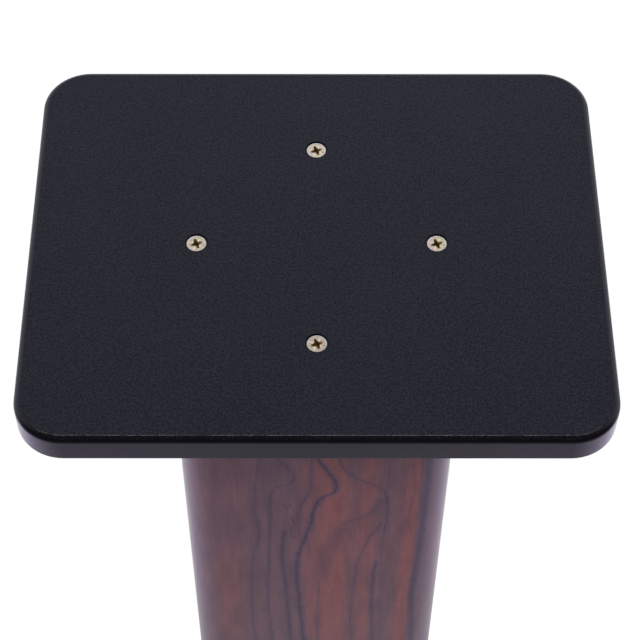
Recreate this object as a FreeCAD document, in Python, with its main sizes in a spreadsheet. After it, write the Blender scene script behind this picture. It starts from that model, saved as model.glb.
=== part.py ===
"""Speaker stand: a square hollow column between a small top plate and a larger base plate.

Millimetres, +Z up, the speaker's front towards -Y. The origin is on the floor, under the middle
of the column. The levelling feet are drawn screwed out as far as they go.
"""
import FreeCAD
import Part
import Sketcher
import math
import os
import re

SIZES = {
    # top plate: a board with a grained film on its flat
    "top_width": 240,
    "top_depth": 191,
    "top_thickness": 14,
    "top_corner_radius": 20,
    # base plate, made the same way
    "base_width": 300,
    "base_depth": 250,
    "base_thickness": 18,
    "base_corner_radius": 24,
    # edges and film of both plates
    "edge_radius": 2.5,
    "arris_radius": 0.8,
    "film_thickness": 0.3,
    # column: four mitred boards under one wrap
    "column_side": 120,
    "column_corner_radius": 15,
    "column_length": 850,
    "column_board": 19,
    "wrap_thickness": 0.3,
    "wrap_seam": 0.2,
    "glue_line": 0.05,
    # countersunk screws with heads of 90 degrees
    "screw_diameter": 4,
    "head_diameter": 8.2,
    "head_rim": 0.2,
    "head_sink": 0.4,
    "screw_point": 4,
    "top_screw_length": 40,
    "base_screw_length": 45,
    "screw_hole_gap": 0.25,
    "thread_gap": 0.05,
    "pilot_end_gap": 3,
    # cross recess in the screw heads
    "recess_reach": 2.5,
    "recess_half_width": 0.5,
    "recess_depth": 2,
    # levelling feet, from the insert in the base down to the rubber cup
    "foot_inset": 32,
    "foot_travel": 6,
    "stud_diameter": 6,
    "stud_engagement": 6,
    "stud_chamfer": 0.6,
    "insert_diameter": 9,
    "insert_end_gap": 1.5,
    "flange_diameter": 13,
    "flange_height": 1,
    "nut_height": 3,
    "nut_across_flats": 10,
    "collar_diameter": 16,
    "collar_height": 5,
    "collar_chamfer": 0.6,
    "cone_height": 12,
    "point_diameter": 2,
    "cup_diameter": 22,
    "cup_top_diameter": 18,
    "cup_height": 9,
    "cup_floor": 3,
    "cup_gap": 0.3,
    # how far a cutting shape runs past the surface that it cuts
    "cut_margin": 1,
}
# the recesses' turn about the screw's own axis, in degrees
RECESS_TURN = 20

# levels above the floor, from the feet upwards
COLLAR_BOTTOM = "(cup_floor + cone_height)"
COLLAR_TOP = f"({COLLAR_BOTTOM} + collar_height)"
NUT_BOTTOM = f"({COLLAR_TOP} + foot_travel)"
FLANGE_BOTTOM = f"({NUT_BOTTOM} + nut_height)"
BASE_BOTTOM = f"({FLANGE_BOTTOM} + flange_height)"
BASE_TOP = f"({BASE_BOTTOM} + base_thickness)"
COLUMN_BOTTOM = f"({BASE_TOP} + film_thickness)"
TOP_BOTTOM = f"({COLUMN_BOTTOM} + column_length)"
TOP_TOP = f"({TOP_BOTTOM} + top_thickness)"
TOP_SURFACE = f"({TOP_TOP} + film_thickness)"

# the column's boards lie inside the wrap, and the screws go into the middle of their thickness
BOARD_FACE = "(column_side / 2 - wrap_thickness - glue_line)"
BOARD_BACK = f"({BOARD_FACE} - column_board)"
BOARD_RADIUS = "(column_corner_radius - wrap_thickness - glue_line)"
SCREW_RING = f"({BOARD_FACE} - column_board / 2)"

# radii of the screws' holes
SHANK_HOLE = "(screw_diameter / 2 + screw_hole_gap)"
PILOT_HOLE = "(screw_diameter / 2 + thread_gap)"
SINK_MOUTH = "(head_diameter / 2 + head_rim + head_sink + thread_gap)"

# the stud may rise into the base by its engagement and its travel
INSERT_LENGTH = "(stud_engagement + foot_travel)"
STUD_HOLE = "(stud_diameter / 2 + thread_gap)"

# where the feet stand, from the middle of the base
FOOT_X = "(base_width / 2 - foot_inset)"
FOOT_Y = "(base_depth / 2 - foot_inset)"
CORNERS = {
    "front_left": (f"-{FOOT_X}", f"-{FOOT_Y}"),
    "front_right": (FOOT_X, f"-{FOOT_Y}"),
    "back_right": (FOOT_X, FOOT_Y),
    "back_left": (f"-{FOOT_X}", FOOT_Y),
}
# each side of the column: the turn about Z that brings the front there, and its screws' place
SIDES = {
    "front": (0, "0", f"-{SCREW_RING}"),
    "right": (90, SCREW_RING, "0"),
    "back": (180, "0", SCREW_RING),
    "left": (270, f"-{SCREW_RING}", "0"),
}

document = FreeCAD.newDocument("speaker_stand")
sheet = document.addObject("Spreadsheet::Sheet", "sizes")
for row, (alias, number) in enumerate(SIZES.items(), 1):
    sheet.set(f"A{row}", alias)
    sheet.set(f"B{row}", str(number))
    sheet.setAlias(f"B{row}", alias)
document.recompute()


def on_sheet(word):
    return f"sizes.{word}" if word in SIZES else word


def bind(thing, place, text):
    """Bind a property to an expression in the sheet's names."""
    thing.setExpression(place, re.sub("[a-z_]+", lambda word: on_sheet(word.group()), text))


def new_body(name, x="0", y="0", z="0", axis=(0, 0, 1), turn=0):
    """An empty body with its own label, at a bound place."""
    body = document.addObject("PartDesign::Body", name)
    body.Label = name
    rotation = FreeCAD.Rotation(FreeCAD.Vector(*axis), turn)
    body.Placement = FreeCAD.Placement(FreeCAD.Vector(), rotation)
    bind(body, "Placement.Base.x", x)
    bind(body, "Placement.Base.y", y)
    bind(body, "Placement.Base.z", z)
    return body


def origin_feature(body, role):
    return next(item for item in body.Origin.OriginFeatures if item.Role == role)


def new_sketch(body, plane="XY_Plane", across="0", out="0", turn=0):
    """A sketch on an origin plane, moved across along its own x and out along its normal."""
    sketch = body.newObject("Sketcher::SketchObject", "outline")
    sketch.AttachmentSupport = (origin_feature(body, plane), [""])
    sketch.MapMode = "FlatFace"
    rotation = FreeCAD.Rotation(FreeCAD.Vector(0, 0, 1), turn)
    sketch.AttachmentOffset = FreeCAD.Placement(FreeCAD.Vector(), rotation)
    bind(sketch, "AttachmentOffset.Base.x", across)
    bind(sketch, "AttachmentOffset.Base.z", out)
    return sketch


def hold(sketch, text, *constraint):
    """A dimension of a sketch, bound to the sheet."""
    index = sketch.addConstraint(Sketcher.Constraint(*constraint))
    bind(sketch, f"Constraints[{index}]", text)


def polygon(sketch, corners):
    """A closed outline of straight lines, with each corner held at its own x and y."""
    count = len(corners)
    first = sketch.GeometryCount
    steps = [math.tau * step / count for step in range(count)]
    rough = [FreeCAD.Vector(10 * math.cos(step), 10 * math.sin(step), 0) for step in steps]
    for i in range(count):
        sketch.addGeometry(Part.LineSegment(rough[i], rough[(i + 1) % count]), False)
    for i in range(count):
        following = first + (i + 1) % count
        sketch.addConstraint(Sketcher.Constraint("Coincident", first + i, 2, following, 1))
    for i, (x, y) in enumerate(corners):
        hold(sketch, x, "DistanceX", first + i, 1, rough[i].x)
        hold(sketch, y, "DistanceY", first + i, 1, rough[i].y)


def circle(sketch, x, y, radius):
    """A circle held at its centre."""
    rough = Part.Circle(FreeCAD.Vector(1, 1, 0), FreeCAD.Vector(0, 0, 1), 5)
    index = sketch.addGeometry(rough, False)
    hold(sketch, x, "DistanceX", index, 3, 1)
    hold(sketch, y, "DistanceY", index, 3, 1)
    hold(sketch, radius, "Radius", index, 5)


def rounded_rectangle(sketch, width, depth, radius):
    """A rectangle round the sketch's origin, with four equal round corners."""
    first = sketch.GeometryCount
    # a rough one is drawn, side and corner in turn from the lower side on, and then held
    reach_x, reach_y, rough_radius = 50, 40, 10
    flat_x, flat_y = reach_x - rough_radius, reach_y - rough_radius
    sides = [
        ((-flat_x, -reach_y), (flat_x, -reach_y)),
        ((reach_x, -flat_y), (reach_x, flat_y)),
        ((flat_x, reach_y), (-flat_x, reach_y)),
        ((-reach_x, flat_y), (-reach_x, -flat_y)),
    ]
    centres = [(flat_x, -flat_y), (flat_x, flat_y), (-flat_x, flat_y), (-flat_x, -flat_y)]
    for quarter in range(4):
        start, end = (FreeCAD.Vector(*point, 0) for point in sides[quarter])
        sketch.addGeometry(Part.LineSegment(start, end), False)
        centre = FreeCAD.Vector(*centres[quarter], 0)
        whole = Part.Circle(centre, FreeCAD.Vector(0, 0, 1), rough_radius)
        angle = (quarter - 1) * math.pi / 2
        sketch.addGeometry(Part.ArcOfCircle(whole, angle, angle + math.pi / 2), False)
    for i in range(8):
        sketch.addConstraint(Sketcher.Constraint("Tangent", first + i, 2, first + (i + 1) % 8, 1))
    for side, direction in ((0, "Horizontal"), (2, "Vertical"), (4, "Horizontal"), (6, "Vertical")):
        sketch.addConstraint(Sketcher.Constraint(direction, first + side))
    for corner in (3, 5, 7):
        sketch.addConstraint(Sketcher.Constraint("Equal", first + 1, first + corner))
    opposite = ("Symmetric", first + 1, 3, first + 5, 3, -1, 1)
    sketch.addConstraint(Sketcher.Constraint(*opposite))
    hold(sketch, width, "DistanceX", first + 6, 1, first + 2, 1, 2 * reach_x)
    hold(sketch, depth, "DistanceY", first, 1, first + 4, 1, 2 * reach_y)
    hold(sketch, radius, "Radius", first + 1, rough_radius)


def pad(body, sketch, length):
    """Extrude a sketch along its normal."""
    feature = body.newObject("PartDesign::Pad", "pad")
    feature.Profile = sketch
    bind(feature, "Length", length)
    return feature


def cut_through(body, sketch):
    """Cut a sketch all the way through, both ways."""
    feature = body.newObject("PartDesign::Pocket", "through")
    feature.Profile = sketch
    feature.Type = "ThroughAll"
    feature.Midplane = True


def cut_blind(body, sketch, depth, along_normal=False):
    """Cut a sketch to a depth, against its normal or along it."""
    feature = body.newObject("PartDesign::Pocket", "blind")
    feature.Profile = sketch
    feature.Reversed = along_normal
    bind(feature, "Length", depth)


def turned(body, corners):
    """A solid of revolution about the body's Z axis, from corners of radius and height."""
    sketch = new_sketch(body, "XZ_Plane")
    polygon(sketch, corners)
    feature = body.newObject("PartDesign::Revolution", "turned")
    feature.Profile = sketch
    feature.ReferenceAxis = (sketch, ["V_Axis"])
    feature.Angle = 360


def round_edges(body, radius, chosen):
    """Round the edges of the body's tip that chosen picks."""
    base = body.Tip
    names = [f"Edge{i}" for i, edge in enumerate(base.Shape.Edges, 1) if chosen(edge)]
    feature = body.newObject("PartDesign::Fillet", "rounding")
    feature.Base = (base, names)
    bind(feature, "Radius", radius)
    document.recompute()


def edge_at(level):
    """A test for the edges that lie flat at a level of their body."""
    return lambda edge: all(abs(vertex.Z - level) < 1e-6 for vertex in edge.Vertexes)


def plate_board(name, width, depth, thickness, corner_radius, level):
    """A plate's board: round corners, a rounded upper edge and a small arris below."""
    body = new_body(name, z=level)
    sketch = new_sketch(body)
    rounded_rectangle(sketch, width, depth, corner_radius)
    blank = pad(body, sketch, thickness)
    document.recompute()
    round_edges(body, "edge_radius", edge_at(blank.Length.Value))
    round_edges(body, "arris_radius", edge_at(0))
    return body


def plate_film(name, width, depth, corner_radius, level):
    """The film on a plate's flat: it ends where the board's edge starts to round."""
    body = new_body(name, z=level)
    sketch = new_sketch(body)
    film_size = [f"{size} - 2 * edge_radius" for size in (width, depth)]
    rounded_rectangle(sketch, *film_size, f"{corner_radius} - edge_radius")
    pad(body, sketch, "film_thickness")
    return body


def screw_holes(body, surface, up, far):
    """Four countersunk holes round the middle, from a surface that looks up or down, to far."""
    way = "+" if up else "-"
    back = "-" if up else "+"
    corners = [
        ("0", f"{surface} {way} cut_margin"),
        (f"{SINK_MOUTH} + cut_margin", f"{surface} {way} cut_margin"),
        (SHANK_HOLE, f"{surface} {back} ({SINK_MOUTH} - {SHANK_HOLE})"),
        (SHANK_HOLE, f"{far} {back} cut_margin"),
        ("0", f"{far} {back} cut_margin"),
    ]
    sketch = new_sketch(body, "XZ_Plane", across=SCREW_RING)
    polygon(sketch, corners)
    groove = body.newObject("PartDesign::Groove", "countersink")
    groove.Profile = sketch
    groove.ReferenceAxis = (sketch, ["V_Axis"])
    groove.Angle = 360
    ring = body.newObject("PartDesign::PolarPattern", "ring")
    ring.Originals = [groove]
    ring.Axis = (origin_feature(body, "Z_Axis"), [""])
    ring.Angle = 360
    ring.Occurrences = 4
    body.Tip = ring


def top_plate():
    board = plate_board(
        "top_plate_board", "top_width", "top_depth", "top_thickness", "top_corner_radius", TOP_BOTTOM
    )
    screw_holes(board, "(top_thickness + film_thickness)", True, "0")
    film = plate_film("top_plate_film", "top_width", "top_depth", "top_corner_radius", TOP_TOP)
    screw_holes(film, "film_thickness", True, "-top_thickness")
    return [board, film]


def base_plate():
    board = plate_board(
        "base_plate_board", "base_width", "base_depth", "base_thickness", "base_corner_radius", BASE_BOTTOM
    )
    screw_holes(board, "0", False, "base_thickness")
    for x, y in CORNERS.values():
        sketch = new_sketch(board)
        circle(sketch, x, y, "insert_diameter / 2 + thread_gap")
        cut_blind(board, sketch, f"{INSERT_LENGTH} + insert_end_gap", along_normal=True)
    film = plate_film("base_plate_film", "base_width", "base_depth", "base_corner_radius", BASE_TOP)
    sketch = new_sketch(film)
    for turn, x, y in SIDES.values():
        circle(sketch, x, y, SHANK_HOLE)
    cut_through(film, sketch)
    return [board, film]


def column_board(side, turn):
    """One wall of the column, drawn as the front one: mitred, rounded outside, a pilot at each end."""
    body = new_body(f"column_board_{side}", z=COLUMN_BOTTOM, turn=turn)
    wall = new_sketch(body)
    outer = [(f"-{BOARD_FACE}", f"-{BOARD_FACE}"), (BOARD_FACE, f"-{BOARD_FACE}")]
    inner = [(BOARD_BACK, f"-{BOARD_BACK}"), (f"-{BOARD_BACK}", f"-{BOARD_BACK}")]
    polygon(wall, outer + inner)
    pad(body, wall, "column_length")
    waste = new_sketch(body)
    rounded_rectangle(waste, f"2 * {BOARD_FACE}", f"2 * {BOARD_FACE}", BOARD_RADIUS)
    circle(waste, "0", "0", "column_side")
    cut_through(body, waste)
    for level, plate, length, upward in (
        ("0", "(base_thickness + film_thickness)", "base_screw_length", True),
        ("column_length", "(top_thickness + film_thickness)", "top_screw_length", False),
    ):
        pilot = new_sketch(body, out=level)
        circle(pilot, "0", f"-{SCREW_RING}", PILOT_HOLE)
        depth = f"{length} + head_sink - {plate} + pilot_end_gap"
        cut_blind(body, pilot, depth, along_normal=upward)
    return body


def column_wrap():
    """The grained film round the column, with a narrow butt seam up the middle of the back."""
    body = new_body("column_wrap", z=COLUMN_BOTTOM)
    ring = new_sketch(body)
    rounded_rectangle(ring, "column_side", "column_side", "column_corner_radius")
    inside = "column_side - 2 * wrap_thickness"
    rounded_rectangle(ring, inside, inside, "column_corner_radius - wrap_thickness")
    pad(body, ring, "column_length")
    seam = new_sketch(body)
    near = "column_side / 2 - wrap_thickness - cut_margin"
    far = "column_side / 2 + cut_margin"
    half = "wrap_seam / 2"
    polygon(seam, [(f"-{half}", near), (half, near), (half, far), (f"-{half}", far)])
    cut_through(body, seam)
    return body


def screw(name, length, x, y, level, pointing_up):
    """A countersunk wood screw, its head's flat at the body's origin and its point below."""
    body = new_body(name, x, y, level, axis=(1, 0, 0), turn=180 if pointing_up else 0)
    radius = "screw_diameter / 2"
    turned(body, [
        ("0", "0"),
        ("head_diameter / 2", "0"),
        ("head_diameter / 2", "-head_rim"),
        (radius, f"-(head_rim + head_diameter / 2 - {radius})"),
        (radius, f"-({length} - screw_point)"),
        ("0", f"-{length}"),
    ])
    recess = new_sketch(body, turn=RECESS_TURN)
    reach, half = "recess_reach", "recess_half_width"
    arm = [(reach, f"-{half}"), (reach, half), (half, half)]
    cross = []
    for quarter in range(4):
        cross += arm
        arm = [(negative(y), x) for x, y in arm]
    polygon(recess, cross)
    cut_blind(body, recess, "recess_depth")
    return body


def negative(text):
    """The expression with its sign changed."""
    return text[1:] if text.startswith("-") else f"-{text}"


def foot_insert(corner, x, y):
    """A flanged threaded insert, its flange against the base's underside."""
    body = new_body(f"foot_insert_{corner}", x, y, FLANGE_BOTTOM)
    turned(body, [
        (STUD_HOLE, "0"),
        ("flange_diameter / 2", "0"),
        ("flange_diameter / 2", "flange_height"),
        ("insert_diameter / 2", "flange_height"),
        ("insert_diameter / 2", f"flange_height + {INSERT_LENGTH}"),
        (STUD_HOLE, f"flange_height + {INSERT_LENGTH}"),
    ])
    return body


def foot_nut(corner, x, y):
    """The hexagonal nut that locks the stud against the insert."""
    body = new_body(f"foot_nut_{corner}", x, y, NUT_BOTTOM)
    sketch = new_sketch(body)
    radius = "nut_across_flats / 2 / cos(30)"
    polygon(sketch, [(f"{radius} * cos({60 * i})", f"{radius} * sin({60 * i})") for i in range(6)])
    circle(sketch, "0", "0", STUD_HOLE)
    pad(body, sketch, "nut_height")
    return body


def foot_spike(corner, x, y):
    """A levelling spike: stud, collar and cone in one, standing on its blunt point."""
    body = new_body(f"foot_spike_{corner}", x, y, "cup_floor")
    shoulder = "cone_height + collar_height"
    end = f"{shoulder} + foot_travel + nut_height + flange_height + stud_engagement"
    turned(body, [
        ("0", "0"),
        ("point_diameter / 2", "0"),
        ("collar_diameter / 2", "cone_height"),
        ("collar_diameter / 2", f"{shoulder} - collar_chamfer"),
        ("collar_diameter / 2 - collar_chamfer", shoulder),
        ("stud_diameter / 2", shoulder),
        ("stud_diameter / 2", f"{end} - stud_chamfer"),
        ("stud_diameter / 2 - stud_chamfer", end),
        ("0", end),
    ])
    return body


def foot_cup(corner, x, y):
    """The rubber cup in which the spike stands, its seat a little wider than the cone."""
    body = new_body(f"foot_cup_{corner}", x, y)
    slope = "(collar_diameter - point_diameter) / 2 / cone_height"
    mouth = f"point_diameter / 2 + cup_gap + (cup_height - cup_floor) * {slope}"
    turned(body, [
        ("0", "0"),
        ("cup_diameter / 2", "0"),
        ("cup_top_diameter / 2", "cup_height"),
        (mouth, "cup_height"),
        ("point_diameter / 2 + cup_gap", "cup_floor"),
        ("0", "cup_floor"),
    ])
    return body


def all_pieces():
    pieces = top_plate() + base_plate() + [column_wrap()]
    for side, (turn, x, y) in SIDES.items():
        pieces.append(column_board(side, turn))
        top_level = f"{TOP_SURFACE} - head_sink"
        pieces.append(screw(f"top_plate_screw_{side}", "top_screw_length", x, y, top_level, False))
        base_level = f"{BASE_BOTTOM} + head_sink"
        pieces.append(screw(f"base_plate_screw_{side}", "base_screw_length", x, y, base_level, True))
    for corner, (x, y) in CORNERS.items():
        for foot_piece in (foot_insert, foot_nut, foot_spike, foot_cup):
            pieces.append(foot_piece(corner, x, y))
    return pieces


def check(pieces):
    """Stop if a feature failed, a cut took nothing away or a piece isn't one whole solid."""
    for item in document.Objects:
        if "Invalid" in item.State or "Error" in item.State:
            raise RuntimeError(f"{item.Label} failed: {item.State}")
        if item.TypeId in ("PartDesign::Pocket", "PartDesign::Groove", "PartDesign::PolarPattern"):
            if item.Shape.Volume > item.BaseFeature.Shape.Volume - 1e-3:
                raise RuntimeError(f"{item.Label} of {item.getParentGeoFeatureGroup().Label} cut nothing")
    for body in pieces:
        if body.Shape.isNull() or not body.Shape.isValid() or len(body.Shape.Solids) != 1:
            raise RuntimeError(f"{body.Label} is not one valid solid")


pieces = all_pieces()
document.recompute()
check(pieces)
os.makedirs("parts", exist_ok=True)
for body in pieces:
    body.Shape.exportStep(f"parts/{body.Label}.step")
    box = body.Shape.BoundBox
    print(f"{body.Label}: {body.Shape.Volume:.0f} mm3, z {box.ZMin:.2f} to {box.ZMax:.2f}")
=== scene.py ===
"""The looks of a speaker stand: black plates with a grained film, a rosewood column and steel feet.

Metres, in the part's own frame: +Z up, the speaker's front towards -Y, the floor at 0. Places are
read from the frame's nodes, and the sizes below are those that a node's box doesn't give.
"""
import math

import bmesh
import bpy
from mathutils import Matrix, Vector


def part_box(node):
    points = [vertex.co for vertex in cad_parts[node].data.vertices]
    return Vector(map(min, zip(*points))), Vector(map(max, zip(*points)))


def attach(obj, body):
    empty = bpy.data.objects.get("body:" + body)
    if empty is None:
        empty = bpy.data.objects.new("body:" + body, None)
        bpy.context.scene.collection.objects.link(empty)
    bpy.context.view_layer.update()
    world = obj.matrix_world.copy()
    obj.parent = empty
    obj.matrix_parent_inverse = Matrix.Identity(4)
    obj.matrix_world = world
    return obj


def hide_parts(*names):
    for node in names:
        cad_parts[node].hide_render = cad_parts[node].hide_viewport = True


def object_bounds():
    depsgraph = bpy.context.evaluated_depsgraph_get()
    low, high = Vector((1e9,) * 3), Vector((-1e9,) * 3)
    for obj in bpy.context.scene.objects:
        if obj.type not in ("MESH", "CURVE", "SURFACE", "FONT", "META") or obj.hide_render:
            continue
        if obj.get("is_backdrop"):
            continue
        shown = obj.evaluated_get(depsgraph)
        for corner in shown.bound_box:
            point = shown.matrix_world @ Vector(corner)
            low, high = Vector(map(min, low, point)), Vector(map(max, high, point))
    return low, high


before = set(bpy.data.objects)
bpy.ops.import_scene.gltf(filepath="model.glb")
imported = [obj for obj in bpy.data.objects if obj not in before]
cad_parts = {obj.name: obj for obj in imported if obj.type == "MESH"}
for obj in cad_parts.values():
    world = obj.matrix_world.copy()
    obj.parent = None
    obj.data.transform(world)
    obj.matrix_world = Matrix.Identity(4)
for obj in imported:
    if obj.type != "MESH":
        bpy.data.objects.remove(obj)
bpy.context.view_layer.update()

MM = 0.001
CLOSE = 1e-6
# how far a cutter runs past the surface that it cuts
CUT_MARGIN = 1 * MM
# a face looks along an axis when its normal's part on that axis is over this
FACING = 0.9

# plates
TOP_CORNER_RADIUS = 20 * MM
BASE_CORNER_RADIUS = 24 * MM
EDGE_RADIUS = 2.5 * MM
ARRIS_RADIUS = 0.8 * MM
FILM_LIP = 0.1 * MM
SHANK_HOLE = 2.25 * MM
INSERT_HOLE = 4.55 * MM
INSERT_END_GAP = 1.5 * MM
CORNER_STEPS, EDGE_STEPS, ARRIS_STEPS, LIP_STEPS = 14, 8, 3, 2

# column wrap
WRAP_CORNER_RADIUS = 15 * MM
WRAP_THICKNESS = 0.3 * MM
WRAP_SEAM = 0.2 * MM

# threads: the root's depth in the core, and half its width and half the crest's for each pitch
THREAD_SINK = 0.12 * MM
THREAD_HALF_ROOT = 0.44
THREAD_HALF_CREST = 0.07

# screws, with heads of 90 degrees and a tapered cross recess with four marks between its arms
SCREW_RADIUS = 2 * MM
SCREW_CORE = 1.3 * MM
SCREW_PITCH = 1.8 * MM
SCREW_POINT = 4 * MM
SCREW_EDGE = 0.12 * MM
PLAIN_SHANK = 8 * MM
SCREW_SIDES = 48
SCREW_THREAD_STEPS = 20
HEAD_RIM = 0.2 * MM
SINK_MOUTH = 4.75 * MM
HEAD_LAND = 0.45 * MM
HEAD_DISH = 0.06 * MM
RECESS_TURN = 20
RECESS_REACH = 2.6 * MM
RECESS_ARM_HALF = 0.38 * MM
RECESS_CORE = 1.2 * MM
RECESS_DEPTH = 2 * MM
RECESS_TAPER = 0.45
RECESS_RISE = 0.3 * MM
MARK_REACH = (1.6 * MM, 3.1 * MM)
MARK_HALF = 0.4 * MM
MARK_DEPTH = 0.2 * MM

# feet, from the stud and the insert down to the cup
STUD_RADIUS = 3 * MM
STUD_CORE = 2.45 * MM
STUD_PITCH = 1 * MM
STUD_HOLE = 3.05 * MM
STUD_GROOVE = 0.5 * MM
STUD_THREAD_STEPS = 40
FLANGE_HEIGHT = 1 * MM
BARREL_GAP = 0.05 * MM
INSERT_EDGE = 0.15 * MM
NUT_CHAMFER = math.radians(30)
# the chamfer's depth over that of a cone which just meets the flats, and the two ends of its
# slope, as shares of the radius over the flats and over the corners
NUT_CHAMFER_DEPTH = 1.3
NUT_FACE = 0.97
NUT_BLANK = 1.02
NUT_BLANK_SIDES = 72
NUT_BORE_CHAMFER = 0.35 * MM
NUT_EDGE = 0.08 * MM
COLLAR_RADIUS = 8 * MM
COLLAR_HEIGHT = 5 * MM
COLLAR_CHAMFER = 0.6 * MM
COLLAR_TEETH = 60
TOOTH_DEPTH = 0.35 * MM
TOOTH_END_RISE = 0.35 * MM
TOOTH_END_TAPER = 0.955
TOOTH_END_INSET = 0.01 * MM
SPIKE_EDGE = 0.12 * MM
POINT_RADIUS = 1 * MM
CONE_HEIGHT = 12 * MM
CUP_FLOOR = 3 * MM
CUP_GAP = 0.3 * MM
CUP_LIP_RADIUS = 9 * MM
CUP_SKIRT = (0.6 * MM, 2.2 * MM)
CUP_EDGE = 0.35 * MM
# the grip grooves' outer radii, and their section: how far in and up each of its corners lies
GRIP_RADII = (8 * MM, 5 * MM)
GRIP_SECTION = ((0, 0), (0.4 * MM, 0.6 * MM), (1 * MM, 0.6 * MM), (1.4 * MM, 0))

CORNERS = ("front_left", "front_right", "back_right", "back_left")
SIDES = ("front", "right", "back", "left")
TURNED_SIDES = 64


# --- modelling ---------------------------------------------------------------------------------

def only(piece):
    """Select one object alone and make it the active one."""
    bpy.ops.object.select_all(action="DESELECT")
    piece.select_set(True)
    bpy.context.view_layer.objects.active = piece


def added(name, primitive, **settings):
    """A new primitive with nothing else selected, its place and size held in its mesh."""
    bpy.ops.object.select_all(action="DESELECT")
    primitive(**settings)
    piece = bpy.context.active_object
    piece.name = name
    piece.data.name = name
    bpy.ops.object.transform_apply(location=True, rotation=True, scale=True)
    return piece


def open_mesh(piece):
    only(piece)
    bpy.ops.object.mode_set(mode="EDIT")


def close_mesh():
    bpy.ops.object.mode_set(mode="OBJECT")


def pick(kind, test):
    """In the open mesh, select only the vertices, edges or faces that pass a test."""
    bpy.ops.mesh.select_mode(type=kind)
    bpy.ops.mesh.select_all(action="DESELECT")
    mesh = bpy.context.edit_object.data
    form = bmesh.from_edit_mesh(mesh)
    for item in {"VERT": form.verts, "EDGE": form.edges, "FACE": form.faces}[kind]:
        if test(item):
            item.select_set(True)
    bmesh.update_edit_mesh(mesh)


def upright(edge):
    start, end = (vertex.co for vertex in edge.verts)
    return (start.xy - end.xy).length < CLOSE


def at_level(level):
    """A test for what lies flat at a height."""
    return lambda item: all(abs(vertex.co.z - level) < CLOSE for vertex in item.verts)


def round_over(radius, segments):
    bpy.ops.mesh.bevel(offset=radius, segments=segments, profile=0.5, clamp_overlap=False)


def tidy_normals():
    """Merge doubles and turn all faces outwards in the open mesh."""
    bpy.ops.mesh.select_all(action="SELECT")
    bpy.ops.mesh.remove_doubles(threshold=CLOSE)
    bpy.ops.mesh.normals_make_consistent(inside=False)


def modify(piece, kind, **settings):
    """Put a modifier on a piece and apply it."""
    only(piece)
    modifier = piece.modifiers.new(kind.lower(), kind)
    for name, value in settings.items():
        setattr(modifier, name, value)
    bpy.ops.object.modifier_apply(modifier=modifier.name)


def combine(piece, operation, other):
    """Cut another shape from a piece, add it, or keep what they share."""
    modify(piece, "BOOLEAN", operation=operation, object=other, solver="EXACT")
    bpy.data.objects.remove(other)


def joined(pieces):
    only(pieces[0])
    for piece in pieces[1:]:
        piece.select_set(True)
    bpy.ops.object.join()
    return pieces[0]


def soften(piece, width, segments=2, angle=30):
    """Round a piece's sharp edges a little and shade it smooth."""
    modify(piece, "BEVEL", width=width, segments=segments, limit_method="ANGLE",
           angle_limit=math.radians(angle), use_clamp_overlap=True)
    shade(piece)


def shade(piece, angle=32, large_faces=True):
    """Shade smooth over the shallow edges, with large faces kept flat if the piece has any."""
    only(piece)
    if piece.data.has_custom_normals:
        bpy.ops.mesh.customdata_custom_splitnormals_clear()
    bpy.ops.object.shade_smooth_by_angle(angle=math.radians(angle))
    if large_faces:
        modify(piece, "WEIGHTED_NORMAL", mode="FACE_AREA", weight=50, keep_sharp=True)


def settled(piece):
    """Hold a piece's place and turn in its mesh."""
    only(piece)
    bpy.ops.object.transform_apply(location=True, rotation=True, scale=True)
    return piece


def spun(piece, degrees):
    """Turn a piece's mesh about the Z axis."""
    piece.rotation_euler = (0, 0, math.radians(degrees))
    return settled(piece)


def copy_of(piece, name, step, turn=0):
    """A copy with its own mesh, turned about the X axis and then moved to its place."""
    only(piece)
    bpy.ops.object.duplicate(linked=False)
    copy = bpy.context.active_object
    copy.name = name
    copy.data.name = name
    copy.rotation_euler = (turn, 0, 0)
    copy.location = step
    return settled(copy)


def turned(name, outline, sides=TURNED_SIDES):
    """A solid of revolution about Z, from points of radius and height."""
    piece = added(name, bpy.ops.mesh.primitive_plane_add, size=MM)
    open_mesh(piece)
    bpy.ops.mesh.select_all(action="SELECT")
    bpy.ops.mesh.merge(type="CENTER")
    bpy.ops.mesh.select_mode(type="VERT")
    bpy.ops.mesh.select_all(action="SELECT")
    last = Vector((outline[0][0], 0, outline[0][1]))
    bpy.ops.transform.translate(value=last)
    closed = [] if outline[0][0] < CLOSE and outline[-1][0] < CLOSE else outline[:1]
    for radius, height in outline[1:] + closed:
        point = Vector((radius, 0, height))
        bpy.ops.mesh.extrude_vertices_move(TRANSFORM_OT_translate={"value": point - last})
        last = point
    bpy.ops.mesh.select_all(action="SELECT")
    bpy.ops.mesh.spin(steps=sides, angle=math.tau, center=(0, 0, 0), axis=(0, 0, 1))
    tidy_normals()
    close_mesh()
    return piece


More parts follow.
